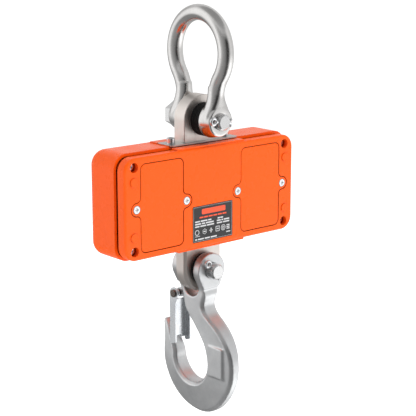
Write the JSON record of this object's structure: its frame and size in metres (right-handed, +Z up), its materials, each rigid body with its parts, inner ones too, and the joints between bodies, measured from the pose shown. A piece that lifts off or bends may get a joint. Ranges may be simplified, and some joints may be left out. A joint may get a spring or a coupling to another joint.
{
  "type": "crane scale",
  "caption": "Hanging crane scale: bow shackle over a flat two-part housing with battery covers on the back, and a latched clevis hook below.",
  "frame": {"origin": "underside of the shackle's crown, where the crane's hook bears and the scale hangs", "axes": "+Z up along the line of pull; X runs along the housing's length; +Y is the battery and rating-plate side and -Y the display and key side"},
  "size_m": [0.222, 0.1107, 0.4184],
  "materials": {
    "satin_stainless": "satin, lightly polished forging",
    "pin_steel": "satin turned steel",
    "bright_zinc": "bright zinc-plated fasteners",
    "cell_nickel": "warm satin nickel plate",
    "galvanised": "matt light-grey galvanised forging",
    "latch_zinc": "bright zinc-plated sheet",
    "orange_coat": "semi-gloss powder coat on die-cast aluminium",
    "plate_steel": "satin stainless sheet",
    "black_polymer": "matt",
    "rubber_seal": "matt",
    "label_film": "satin printed film",
    "bezel_film": "semi-gloss printed panel",
    "key_grey": "matt",
    "smoked_window": "dark red tint",
    "led_red": "glossy",
    "dark_lens": "glossy",
    "board_green": "solder mask",
    "chip_black": "matt",
    "gauge_foil": "polyimide film",
    "cell_jacket": "satin printed sleeve",
    "contact_plate": "nickel-flashed brass",
    "cable_sleeve": "satin"
  },
  "bodies": {
    "shackle": {"shackle_bow": "satin_stainless", "shackle_pin": "pin_steel", "shackle_split_pin": "bright_zinc", "shackle_spacers": "black_polymer"},
    "scale_body": {"load_cell": "cell_nickel", "strain_gauges": "gauge_foil", "gauge_pocket_covers": "cell_nickel", "front_shell": "orange_coat", "rear_shell": "orange_coat", "shell_gasket": "rubber_seal", "housing_screws": "bright_zinc", "battery_cover_left": "orange_coat", "battery_cover_right": "orange_coat", "battery_cover_gaskets": "rubber_seal", "cover_screws": "bright_zinc", "top_plate": "plate_steel", "bottom_plate": "plate_steel", "plate_seals": "rubber_seal", "plate_screws": "bright_zinc", "cell_screws": "bright_zinc", "battery_tray_left": "black_polymer", "battery_tray_right": "black_polymer", "battery_cells_left": "cell_jacket", "battery_cells_right": "cell_jacket", "battery_contacts": "contact_plate", "contact_springs": "contact_plate", "rating_label": "label_film", "main_board": "board_green", "board_components": "chip_black", "board_screws": "bright_zinc", "buzzer": "chip_black", "display_module": "black_polymer", "display_digits": "led_red", "display_window": "smoked_window", "window_gasket": "rubber_seal", "front_bezel": "bezel_film", "button_switches": "chip_black", "remote_receiver": "chip_black", "receiver_lens": "dark_lens", "cell_cable": "cable_sleeve", "battery_lead_left": "cable_sleeve", "battery_lead_right": "cable_sleeve"},
    "power_button": {"power_button": "key_grey"},
    "unit_button": {"unit_button": "key_grey"},
    "hold_button": {"hold_button": "key_grey"},
    "zero_button": {"zero_button": "key_grey"},
    "hook": {"hook": "galvanised", "hook_pin": "pin_steel", "hook_split_pin": "bright_zinc", "hook_spacers": "black_polymer", "latch_rivet": "bright_zinc", "latch_spring": "bright_zinc"},
    "latch": {"latch": "latch_zinc"}
  },
  "joints": [
    {"name": "shackle_pivot", "type": "hinge", "parent": "shackle", "child": "scale_body", "pos_m": [0, 0, -0.096], "axis": [0, 1, 0], "range_deg": [-90, 90]},
    {"name": "hook_pivot", "type": "hinge", "parent": "scale_body", "child": "hook", "pos_m": [0, 0, -0.2485], "axis": [0, 1, 0], "range_deg": [-85, 85]},
    {"name": "latch_pivot", "type": "hinge", "parent": "hook", "child": "latch", "pos_m": [0, -0.0268, -0.2815], "axis": [1, 0, 0], "range_deg": [0, 38], "stiffness_Nm_per_rad": 0.03, "springref_deg": -28.65},
    {"name": "power_press", "type": "slide", "parent": "scale_body", "child": "power_button", "axis": [0, 1, 0], "range_m": [0, 0.0012], "stiffness_N_per_m": 300},
    {"name": "unit_press", "type": "slide", "parent": "scale_body", "child": "unit_button", "axis": [0, 1, 0], "range_m": [0, 0.0012], "stiffness_N_per_m": 300},
    {"name": "hold_press", "type": "slide", "parent": "scale_body", "child": "hold_button", "axis": [0, 1, 0], "range_m": [0, 0.0012], "stiffness_N_per_m": 300},
    {"name": "zero_press", "type": "slide", "parent": "scale_body", "child": "zero_button", "axis": [0, 1, 0], "range_m": [0, 0.0012], "stiffness_N_per_m": 300}
  ]
}
